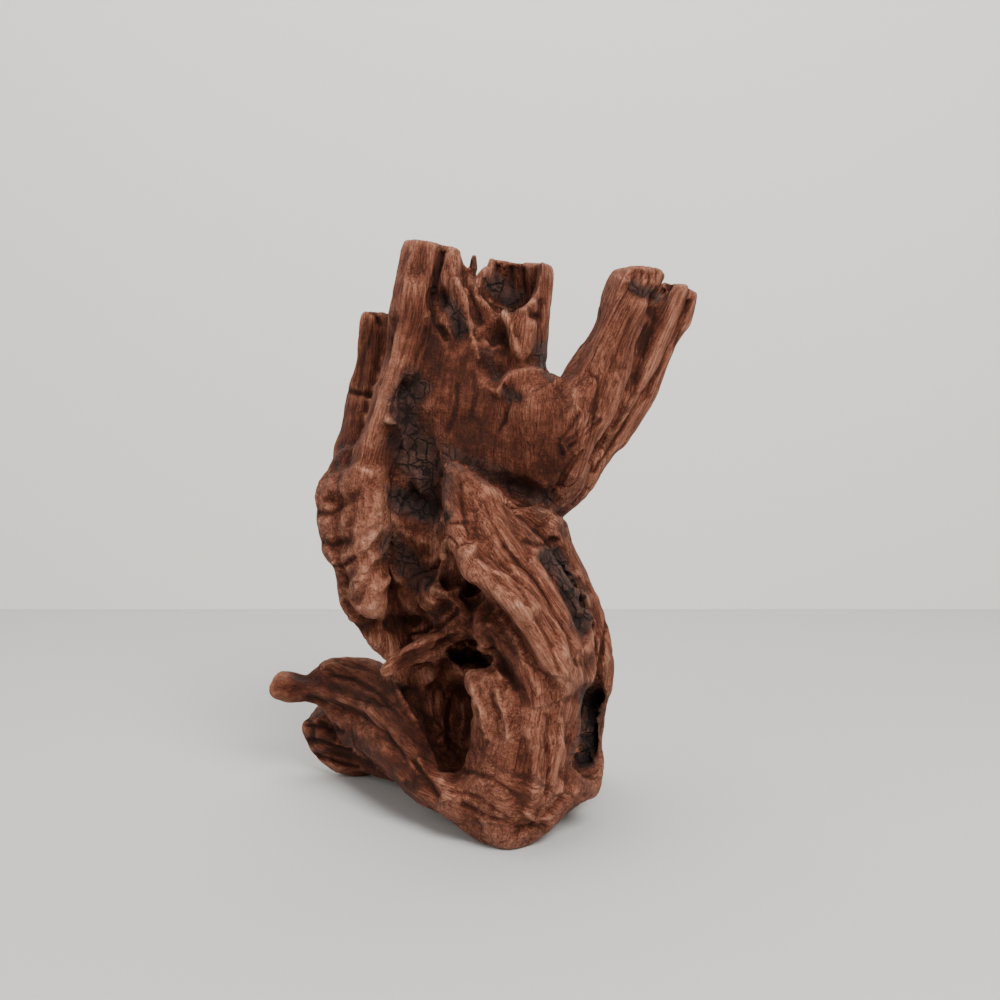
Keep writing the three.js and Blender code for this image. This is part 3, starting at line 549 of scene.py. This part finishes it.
def lineDistance(points, line):
    best = np.full(len(points), 1e9)
    for a, b in segments(line):
        run = b - a
        t = np.clip(((points - a) @ run) / (run @ run), 0, 1)
        best = np.minimum(best, np.linalg.norm(points - a - t[:, None] * run, axis=1))
    return best


def grainPlace(points, line):
    # distance out from a limb's middle line in limb widths,
    # and the point in that limb's own frame: across, through, along
    nearest = np.full(len(points), 1e9)
    local = np.zeros((len(points), 3))
    start = 0.0
    for a, b in segments(line):
        run = b[:3] - a[:3]
        length = np.linalg.norm(run)
        away = points - a[:3]
        t = np.clip(away @ run / length ** 2, 0, 1)
        off = away - t[:, None] * run
        width = a[3] + t * (b[3] - a[3])
        out = np.linalg.norm(off, axis=1) / width
        across = np.cross(run, (0, -1, 0))
        across /= np.linalg.norm(across)
        through = np.cross(run / length, across)
        closer = out < nearest
        nearest = np.where(closer, out, nearest)
        place = np.stack([off @ across, off @ through, start + t * length], 1)
        local[closer] = place[closer]
        start += length
    return nearest, local


def readMesh(piece):
    points = np.empty(len(piece.data.vertices) * 3)
    piece.data.vertices.foreach_get("co", points)
    normals = np.empty(len(piece.data.vertices) * 3, np.float32)
    piece.data.vertex_normals.foreach_get("vector", normals)
    return points.reshape(-1, 3) / mm, normals.reshape(-1, 3).astype(float)


def writeMesh(piece, points):
    piece.data.vertices.foreach_set("co", (points * mm).ravel())
    piece.data.update()


def edgeEnds(piece):
    ends = np.empty(len(piece.data.edges) * 2, np.int64)
    piece.data.edges.foreach_get("vertices", ends)
    return ends.reshape(-1, 2)


def smoothValues(values, ends, rounds):
    # each round moves a vertex's values half way to its neighbours' mean
    count = np.bincount(ends.ravel(), minlength=len(values))
    for _ in range(rounds):
        total = np.zeros_like(values)
        for c in range(values.shape[1]):
            total[:, c] = np.bincount(ends[:, 0], values[ends[:, 1], c], len(values))
            total[:, c] += np.bincount(ends[:, 1], values[ends[:, 0], c], len(values))
        values = 0.5 * values + 0.5 * total / count[:, None]
    return values


def seenFromEye(points, normals, turn=0.05, deep=5.0):
    # 1 where the eye sees the wood, 0 where it is turned away or hidden
    # (turn widens the first, deep is the mm behind the front wood that still count as seen)
    spot, ahead = toPicture(points)
    pixels = 4  # to a cell
    cells = view["frame"] // pixels
    cell = np.clip((spot / pixels).astype(int), 0, cells - 1)
    index = cell[:, 0] * cells + cell[:, 1]
    front = np.full(cells * cells, 1e9)
    np.minimum.at(front, index, ahead)
    hidden = np.clip((ahead - front[index] - deep) / 4, 0, 1)
    toEye = np.array(view["eye"]) - points
    toEye /= np.linalg.norm(toEye, axis=1)[:, None]
    facing = np.clip((np.sum(normals * toEye, axis=1) + turn) / 0.25, 0, 1)
    return (1 - hidden) * facing


def selectOnly(*pieces):
    # the first one is active
    bpy.ops.object.select_all(action="DESELECT")
    for piece in pieces:
        piece.select_set(True)
    if pieces:
        bpy.context.view_layer.objects.active = pieces[0]


def applyModifiers(piece):
    selectOnly(piece)
    for modifier in list(piece.modifiers):
        bpy.ops.object.modifier_apply(modifier=modifier.name)


def copyOfNode(name):
    # a merged copy of a CAD node's mesh, as a piece of its own
    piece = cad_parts[name].copy()
    piece.data = piece.data.copy()
    piece.name = "weatheredRoot"
    piece.parent = None
    piece.data.materials.clear()
    for key in list(piece.keys()):
        del piece[key]
    bpy.context.scene.collection.objects.link(piece)
    selectOnly(piece)
    bpy.ops.object.mode_set(mode="EDIT")
    bpy.ops.mesh.select_all(action="SELECT")
    bpy.ops.mesh.remove_doubles(threshold=1e-6)
    bpy.ops.object.mode_set(mode="OBJECT")
    return piece


def addTaper(low, high, thick, sides):
    # a tapered stick between two points, all in mm
    low, high = Vector(low) * mm, Vector(high) * mm
    selectOnly()
    bpy.ops.mesh.primitive_cone_add(vertices=sides, radius1=thick[0] * mm, radius2=thick[1] * mm,
                                    depth=(high - low).length, location=(low + high) / 2,
                                    rotation=(high - low).to_track_quat("Z", "Y").to_euler())
    return bpy.context.object


def joinTo(piece, parts):
    selectOnly(piece, *parts)
    bpy.ops.object.join()


def addTwig(piece):
    # the thin broken twig between the left horn and the stump
    joinTo(piece, [addTaper(low, high, thick, 12) for low, high, thick in wood["twig"]])


def addSwells(piece):
    parts = []
    for line in swells.values():
        for x, y, z, radius in line:
            selectOnly()
            bpy.ops.mesh.primitive_uv_sphere_add(segments=24, ring_count=16, radius=radius * mm,
                                                 location=(x * mm, y * mm, z * mm))
            parts.append(bpy.context.object)
        for a, b in zip(line, line[1:]):
            parts.append(addTaper(a[:3], b[:3], (a[3], b[3]), 24))
    joinTo(piece, parts)


def cutHollows(piece):
    for middle, half, turn in cutters.values():
        selectOnly()
        bpy.ops.mesh.primitive_uv_sphere_add(segments=48, ring_count=32, radius=1.0, location=Vector(middle) * mm,
                                             rotation=[math.radians(a) for a in turn], scale=Vector(half) * mm)
        cutter = bpy.context.object
        cut = piece.modifiers.new("cut", "BOOLEAN")
        cut.operation = "DIFFERENCE"
        cut.object = cutter
        applyModifiers(piece)
        bpy.data.objects.remove(cutter)


def remesh(piece, size):
    fine = piece.modifiers.new("fine", "REMESH")
    fine.mode = "VOXEL"
    fine.voxel_size = size * mm
    applyModifiers(piece)


def aboveBreak(points):
    # rises from 0 over the 8 mm above the height where the broken ends start
    return (points[:, 2] - wood["crispAbove"]) / 8


def blend(piece, points, other, share):
    share = share[:, None]
    writeMesh(piece, other * share + points * (1 - share))


def relax(piece, rounds):
    # the broken ends keep their corners
    points, _ = readMesh(piece)
    soft = smoothValues(points, edgeEnds(piece), rounds)
    blend(piece, soft, points, np.clip(aboveBreak(points), 0, 0.8))


def wearSmooth(piece):
    points, normals = readMesh(piece)
    spot, _ = toPicture(points)
    share = placeShare(spot, wornPlaces, 1.6, 1.2)
    share *= seenFromEye(points, normals) * (1 - np.clip(aboveBreak(points), 0, 1))
    blend(piece, points, smoothValues(points, edgeEnds(piece), wood["wearRounds"]), share)


def carveForms(piece):
    points, normals = readMesh(piece)
    push = smoothValues(normals, edgeEnds(piece), 6)
    spot, ahead = toPicture(points)
    size = ahead / view["focal"]  # mm to a pixel
    spot = spot + strayAt(points, (3, 4), 11, 2.0)
    move = np.zeros(len(points))
    for line, half, height, *depth in forms.values():
        near, far = depth or wood["formDepth"]
        away = lineDistance(spot, line) * size
        depth = np.clip((points[:, 1] - near) / 4, 0, 1) * np.clip((far - points[:, 1]) / 4, 0, 1)
        move += height * np.exp(-(away / half) ** 2) * depth
    move = np.clip(move, *wood["formLimits"]) * seenFromEye(points, normals)
    writeMesh(piece, points + push * move[:, None])


def foldStray(points):
    return strayAt(points, (5, 6), 7, 1.6)


def carveFolds(piece):
    points, normals = readMesh(piece)
    spot, ahead = toPicture(points)
    size = ahead / view["focal"]
    stray = foldStray(points)
    move = ridgeHeights(spot + stray, folds, size, 1.4)
    backMove = ridgeHeights(points[:, (0, 2)] + 1.5 * stray, backFolds)
    behind = np.clip(normals[:, 1] / 0.5, 0, 1)
    move = move * seenFromEye(points, normals) + backMove * behind
    writeMesh(piece, points + normals * move[:, None])


def grainShares(points):
    # every limb's reach to a point and share of it, and the point in each limb's own frame
    reach, places = [], []
    for line in grainLines.values():
        out, local = grainPlace(points, line)
        reach.append(out)
        places.append(local)
    reach = np.array(reach)
    share = np.exp(-(reach - reach.min(0)) / wood["limbBlend"])
    return reach, share / share.sum(0), places


def knottyShare(points, normals):
    seen = seenFromEye(points, normals, 0.3, 12.0)
    spot = toPicture(points)[0] + strayAt(points, (41, 42), 9, 5)
    share = placeShare(spot, knotty, 1.5, 1.0)
    behind = np.clip(0.4 + 1.5 * noiseAt(points / (30, 30, 40), 43), 0, 1)
    return share * seen + behind * (1 - seen)


def grainHeight(at, limb):
    # strands, fibres and splits along one limb, in its own frame
    bend = strayAt(at, (50 + limb, 80 + limb), (18, 18, 30), 0.6)
    curve = strayAt(at, (120 + limb, 150 + limb), (6, 6, 13), 0.5)
    strand = at / (wood["strandWidth"], wood["strandWidth"], wood["strandLength"])
    strand[:, :2] += bend + 0.3 * curve
    fibre = at / (wood["fibreWidth"], wood["fibreWidth"], wood["fibreLength"])
    fibre[:, :2] += 2.5 * bend + curve
    height = wood["strandHeight"] * billowAt(strand, 100 + limb)
    height += wood["fibreHeight"] * billowAt(fibre, 200 + limb)
    split = np.exp(-(noiseAt(strand * 0.8, 300 + limb) / 0.05) ** 2)
    return height - wood["splitDepth"] * split * np.clip(2 * noiseAt(at / (24, 24, 40), 400 + limb), 0, 1)


def carveGrain(piece):
    points, normals = readMesh(piece)
    _, share, places = grainShares(points)
    knots = knottyShare(points, normals)
    move = np.zeros(len(points))
    for limb, local in enumerate(places):
        part = share[limb] > 0.02
        move[part] += share[limb][part] * grainHeight(local[part], limb)
    warped = points + strayAt(points, (61, 62, 63), 7, 2.5)
    wrinkle = billowAt(warped / wood["wrinkleSize"], 9)
    wrinkle += 0.6 * billowAt(warped / (0.45 * wood["wrinkleSize"]), 10)
    move *= 1 - 0.8 * knots
    move += wood["wrinkleHeight"] * wrinkle * (0.15 + 0.85 * knots)
    move += wood["lumpHeight"] * noiseAt(points / wood["lumpSize"], 7)
    move += wood["pitHeight"] * noiseAt(points / wood["pitSize"], 8)
    foot = np.clip(points[:, 2] / wood["flatFoot"], 0, 1)  # the spots it stands on stay flat
    writeMesh(piece, points + normals * (move * foot)[:, None])


def keepInside(piece):
    # nothing passes the table, or the CAD box by more than a little
    points, _ = readMesh(piece)
    low, high = np.array(cadBox[0]) / mm, np.array(cadBox[1]) / mm
    low[:2] -= wood["spare"]
    high += wood["spare"]
    writeMesh(piece, np.clip(points, low, high))


def addAttribute(piece, name, values):
    kind, field = ("FLOAT", "value") if values.ndim == 1 else ("FLOAT_VECTOR", "vector")
    layer = piece.data.attributes.new(name, kind, "POINT")
    layer.data.foreach_set(field, values.astype(np.float32).ravel())


def paintMasks(piece):
    points, normals = readMesh(piece)
    ends = edgeEnds(piece)
    seen = seenFromEye(points, smoothValues(normals, ends, 20), 0.3, 12.0)
    spot, ahead = toPicture(points)
    ragged = 4.5 * noiseAt(points / 6, 21) + 3.5 * noiseAt(points / 2.4, 22)
    # char, and painted shade in some hollows and gaps
    burnt = placeShare(spot, burnsAndShade, 1.7, 1.25, ragged) * seen
    # colour shifts, partly the wood's own and partly painted light and shade
    tint = ridgeHeights(spot, tintsAndPaintedLight, ragged=ragged)
    size = ahead / view["focal"]
    stray = foldStray(points)
    for line, half, height in folds.values():  # cracks painted darker as the shade in them, ridges painted lighter, partly as wear and partly as painted highlight
        near = np.exp(-(lineDistance(spot + stray, line) * size / max(0.6, 0.5 * half)) ** 2)
        tint += near * np.clip(height / 2, -1, 1) * (0.4 if height > 0 else 0.75)
    behind = noiseAt(points / (24, 24, 45), 33)
    tint = tint * seen + 0.6 * behind * (1 - seen)
    back = np.clip(3 * noiseAt(points / (26, 26, 45), 31) - 1.2, 0, 1) * (1 - seen)
    burnt = np.maximum(burnt, 0.7 * back)
    # painted light and shade from the mesh's own bends: fine ridges lighter and fine creases darker, broad
    # hollows darker and broad swells lighter
    soft = smoothValues(points, ends, 8)
    softer = smoothValues(soft, ends, 40)
    edge = np.sum((points - soft) * normals, axis=1)
    hollow = -np.sum((points - softer) * normals, axis=1)
    addAttribute(piece, "burnt", burnt)
    addAttribute(piece, "tint", tint)
    addAttribute(piece, "edge", np.clip(edge / 0.6, -1, 1))
    addAttribute(piece, "hollow", np.clip(hollow / 2.5, -1, 1))
    addAttribute(piece, "knots", knottyShare(points, normals))
    reach, _, places = grainShares(points)
    places = np.array(places)
    every = np.arange(len(points))
    first, second = np.argsort(reach, axis=0)[:2]  # the two nearest limbs
    gap = reach[second, every] - reach[first, every]
    for name, limb in (("grainA", first), ("grainB", second)):
        addAttribute(piece, name, places[limb, every] + limb[:, None] * 37.0)  # each limb has grain of its own
    addAttribute(piece, "grainMix", 0.5 * np.clip(1 - gap / 0.15, 0, 1))


class Sock:
    # a node's output that takes part in Python sums
    def __init__(self, tree, link):
        self.tree = tree
        self.link = link

    def math(self, operation, *others):
        node = self.tree.nodes.new("ShaderNodeMath")
        node.operation = operation
        for i, value in enumerate((self,) + others):
            if isinstance(value, Sock):
                self.tree.links.new(value.link, node.inputs[i])
            else:
                node.inputs[i].default_value = value
        return Sock(self.tree, node.outputs[0])

    def __add__(self, other):
        return self.math("ADD", other)

    def __sub__(self, other):
        return self.math("SUBTRACT", other)

    def __mul__(self, other):
        return self.math("MULTIPLY", other)

    def __rsub__(self, other):
        return (self * -1.0) + other

    __radd__ = __add__
    __rmul__ = __mul__


class Shade:
    def __init__(self, name):
        self.material = bpy.data.materials.new(name)
        self.material.use_nodes = True
        self.tree = self.material.node_tree
        self.shader = self.tree.nodes["Principled BSDF"]

    def node(self, kind, settings=None, inputs=None, output=0):
        node = self.tree.nodes.new(kind)
        for key, value in (settings or {}).items():
            if key == "stops":
                ramp = node.color_ramp
                while len(ramp.elements) < len(value):
                    ramp.elements.new(0.5)
                for element, (place, colour) in zip(ramp.elements, value):
                    element.position = place
                    element.color = (*colour, 1)
            else:
                setattr(node, key, value)
        for key, value in (inputs or {}).items():
            if isinstance(value, Sock):
                self.tree.links.new(value.link, node.inputs[key])
            else:
                node.inputs[key].default_value = value
        return Sock(self.tree, node.outputs[output])

    def attribute(self, name, output="Fac"):
        return self.node("ShaderNodeAttribute", {"attribute_name": name}, output=output)

    def mix(self, factor, a, b):
        # inputs 6 and 7 and output 2 are the colours
        return self.node("ShaderNodeMix", {"data_type": "RGBA"}, {0: factor, 6: a, 7: b}, 2)

    def ramp(self, value, stops):
        return self.node("ShaderNodeValToRGB", {"stops": stops}, {0: value})

    def noise(self, vector, scale, detail, rough):
        # from -0.5 to 0.5
        inputs = {"Vector": vector, "Scale": scale, "Detail": detail, "Roughness": rough}
        return self.node("ShaderNodeTexNoise", None, inputs) - 0.5

    def cells(self, vector, scale):
        # distance from the edges of random cells
        return self.node("ShaderNodeTexVoronoi", {"feature": "DISTANCE_TO_EDGE"},
                         {"Vector": vector, "Scale": scale, "Randomness": 1.0})

    def clamp(self, value):
        return self.node("ShaderNodeClamp", None, {0: value})

    def stretch(self, vector, scale):
        return self.node("ShaderNodeVectorMath", {"operation": "MULTIPLY"}, {0: vector, 1: scale})

    def feed(self, name, value):
        self.tree.links.new(value.link, self.shader.inputs[name])


woodColours = {
    "deep": (0.037, 0.0098, 0.0048),
    "dark": (0.074, 0.0180, 0.0080),
    "red": (0.148, 0.0415, 0.0205),
    "mid": (0.247, 0.0880, 0.0510),
    "pale": (0.388, 0.1600, 0.0970),
    "bloom": (0.505, 0.2650, 0.1800),
    "char": (0.0075, 0.0052, 0.0046),
    "charBrown": (0.104, 0.0470, 0.0350),
}

woodLooks = {
    "strand": (0.14, 0.013, 2.0),       # noise to a mm across and along the grain, and its detail
    "fibre": (0.46, 0.026, 3.0),
    "hair": (1.5, 0.06, 3.0),
    "split": (0.26, 0.011, 2.0),
    "mottle": (45.0, 5.0, 0.65),        # noise to a metre, detail and roughness
    "wrinkle": (200.0, 4.0, 0.7),
    "fineWrinkle": (520.0, 3.0, 0.7),
    "speck": (1150.0, 4.0, 0.8),
    "plates": 138.0,                    # char plates to a metre
    "finePlates": 400.0,
    "plateDrift": 0.006,                # metres that their cracks stray
    "tone": 0.415,                      # place of plain wood on the row of colours
    "tint": 0.24,                       # and how far each of these moves it: the tint by the wood's own colour and by painted light and shade, the next two by painted highlight and shade
    "edge": 0.22,
    "hollow": 0.12,
    "bumpStrength": 0.9,
    "bumpDistance": 0.0020,             # metres
    "specular": 0.2,
}


def rgba(name):
    return (*woodColours[name], 1)


def woodMaterial():
    shade = Shade("weatheredWood")
    burnt, tint, edge, hollow, knots, grainMix = (
        shade.attribute(name) for name in ("burnt", "tint", "edge", "hollow", "knots", "grainMix"))
    place = shade.node("ShaderNodeTexCoord", output="Object")

    def alongGrain(across, along, detail):
        # noise drawn out along the limb, mixed with the next limb's where two meet
        first, second = (shade.noise(shade.stretch(shade.attribute(name, "Vector"), (across, across, along)),
                                     1.0, detail, 0.6) for name in ("grainA", "grainB"))
        return first * (1 - grainMix) + second * grainMix

    strand, fibre, hair, split = (
        alongGrain(*woodLooks[name]) for name in ("strand", "fibre", "hair", "split"))
    mottle, wrinkle, fineWrinkle, speck = (
        shade.noise(place, *woodLooks[name]) for name in ("mottle", "wrinkle", "fineWrinkle", "speck"))
    wrinkle = wrinkle.math("ABSOLUTE") * 2.0
    fineWrinkle = fineWrinkle.math("ABSOLUTE") * 2.0
    strandRound = strand.math("ABSOLUTE")
    fibreRound = fibre.math("ABSOLUTE")
    grained = 1 - knots * 0.75
    crack = shade.clamp(1.0 - split.math("ABSOLUTE") * 45.0) * shade.clamp(mottle * 5.0 + 0.35)
    crease = shade.clamp(1.0 - fibreRound * 26.0) * grained + shade.clamp(1.0 - wrinkle * 11.0) * knots

    tone = (strand * 0.15 + fibreRound * 0.5 + hair * 0.55) * grained + mottle * 0.26 + speck * 0.6
    # fine creases and cracks painted darker, as the shade in them
    tone = tone + (wrinkle + fineWrinkle) * (0.08 + knots * 0.2) - crease * 0.13 - crack * 0.2
    tone = tone * shade.clamp(1.0 + tint * 0.3)  # plainer where the tint darkens the wood, by its own colour and by painted shade alike
    tone = tone + woodLooks["tone"] + tint * woodLooks["tint"]
    # painted highlight on ridges and painted shade in creases and hollows
    tone = tone + edge * woodLooks["edge"] - hollow * woodLooks["hollow"]
    base = shade.ramp(tone, [(0.05, woodColours["deep"]), (0.25, woodColours["dark"]),
                             (0.43, woodColours["red"]), (0.60, woodColours["mid"]),
                             (0.78, woodColours["pale"]), (0.98, woodColours["bloom"])])

    # char, broken into plates by fine cracks, which also paints shade into some hollows and gaps
    drift = shade.node("ShaderNodeTexNoise", None, {"Vector": place, "Scale": 160.0, "Detail": 2.0}, "Color")
    warped = shade.node("ShaderNodeVectorMath", {"operation": "ADD"},
                        {0: place, 1: shade.stretch(drift, (woodLooks["plateDrift"],) * 3)})
    plate = shade.clamp(shade.cells(warped, woodLooks["plates"]) * 11.0)
    finePlate = shade.clamp(shade.cells(warped, woodLooks["finePlates"]) * 10.0 + 0.45)
    # the char is browner where it is thinner, and on ridges as a painted highlight
    brown = shade.clamp(mottle * 1.6 + 1.2 - burnt * 0.75 + edge * 0.4)
    charTone = shade.mix(plate * finePlate, rgba("char"), shade.mix(brown, rgba("char"), rgba("charBrown")))
    reached = shade.clamp(burnt * 8.0)  # 0 where there is neither char nor painted shade
    charAndShadeMask = shade.clamp((burnt + (fibre + mottle) * 0.9 - 0.30) * 2.0) * reached
    # darker wood round the char and round the painted shade
    halo = shade.clamp((burnt + mottle * 0.6) * 1.5) * reached * 0.6
    base = shade.mix(halo, base, rgba("deep"))
    base = shade.mix(charAndShadeMask * (0.55 + burnt * 0.5), base, charTone)

    height = (fibreRound * 1.3 + strandRound * 0.5 + hair * 0.6) * grained
    height = height + wrinkle * (0.1 + knots * 0.6) + fineWrinkle * (0.25 + knots * 0.4)
    height = height + speck * 0.40 + mottle * 0.2 - crease * 0.20 - crack * 0.30
    height = height * (1 - charAndShadeMask * 0.5) + charAndShadeMask * (plate * 0.34 + finePlate * 0.12)
    shade.feed("Base Color", base)
    shade.feed("Roughness", 0.70 + fibre * 0.4 - charAndShadeMask * 0.04)
    shade.feed("Normal", shade.node("ShaderNodeBump", None, {
        "Strength": woodLooks["bumpStrength"], "Distance": woodLooks["bumpDistance"], "Height": height}))
    shade.shader.inputs["Specular IOR Level"].default_value = woodLooks["specular"]
    return shade.material


def makeWood():
    piece = copyOfNode("driftwood")
    cutHollows(piece)
    addSwells(piece)
    remesh(piece, wood["firstVoxel"])
    relax(piece, 5)
    wearSmooth(piece)
    carveForms(piece)
    relax(piece, 2)
    print("forms pressed", len(piece.data.vertices))
    addTwig(piece)
    remesh(piece, wood["voxel"])
    relax(piece, 2)
    carveFolds(piece)
    relax(piece, 1)
    carveGrain(piece)
    keepInside(piece)
    print("grain carved", len(piece.data.vertices))
    thin = piece.modifiers.new("thin", "DECIMATE")
    thin.ratio = min(1.0, wood["triangles"] / (2.0 * len(piece.data.polygons)))  # a quad is two triangles
    applyModifiers(piece)
    print("thinned", len(piece.data.polygons))
    paintMasks(piece)
    piece.data.materials.append(woodMaterial())
    selectOnly(piece)
    bpy.ops.object.shade_smooth()
    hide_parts("driftwood")
    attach(piece, "root")


studio = {
    "floor": 5.0,                               # metres across
    "wallPlace": 0.55,                          # metres behind the wood
    "floorColour": (0.60, 0.59, 0.57),
    "wallColour": (0.84, 0.83, 0.78),
    "key": ((0.55, -1.05, 1.20), 0.7, 34.0),    # place, width, watts
    "fill": ((-1.0, -0.8, 0.75), 1.1, 7.0),
    "wallLamp": ((-0.2, 0.1, 1.5), 0.9, 10.0),
    "aim": (0, 0, 0.13),
    "wallAim": 0.3,                             # metres up the wall
    "sky": 0.22,
    "skyColour": (1.0, 0.98, 0.95, 1),
}


def areaLight(name, place, width, power, aim):
    data = bpy.data.lights.new(name, "AREA")
    data.size = width
    data.energy = power
    lamp = bpy.data.objects.new(name, data)
    bpy.context.scene.collection.objects.link(lamp)
    lamp.location = place
    run = Vector(aim) - Vector(place)
    lamp.rotation_euler = run.to_track_quat("-Z", "Y").to_euler()


def stagePlane(name, colour, place, turn):
    selectOnly()
    bpy.ops.mesh.primitive_plane_add(size=studio["floor"], location=place, rotation=turn)
    plane = bpy.context.object
    plane.name = name
    shade = Shade(name + "Paint")
    shade.shader.inputs["Base Color"].default_value = (*colour, 1)
    shade.shader.inputs["Roughness"].default_value = 0.8
    plane.data.materials.append(shade.material)


def makeStage():
    stagePlane("floor", studio["floorColour"], (0, 0, 0), (0, 0, 0))
    stagePlane("wall", studio["wallColour"], (0, studio["wallPlace"], 0), (math.radians(90), 0, 0))
    areaLight("key", *studio["key"], studio["aim"])
    areaLight("fill", *studio["fill"], studio["aim"])
    areaLight("wallLamp", *studio["wallLamp"], (0, studio["wallPlace"], studio["wallAim"]))
    world = bpy.data.worlds.new("studio")
    world.use_nodes = True
    sky = world.node_tree.nodes["Background"]
    sky.inputs[0].default_value = studio["skyColour"]
    sky.inputs[1].default_value = studio["sky"]
    bpy.context.scene.world = world


placeCamera()
print("camera placed")
makeWood()
print("wood made")
makeStage()
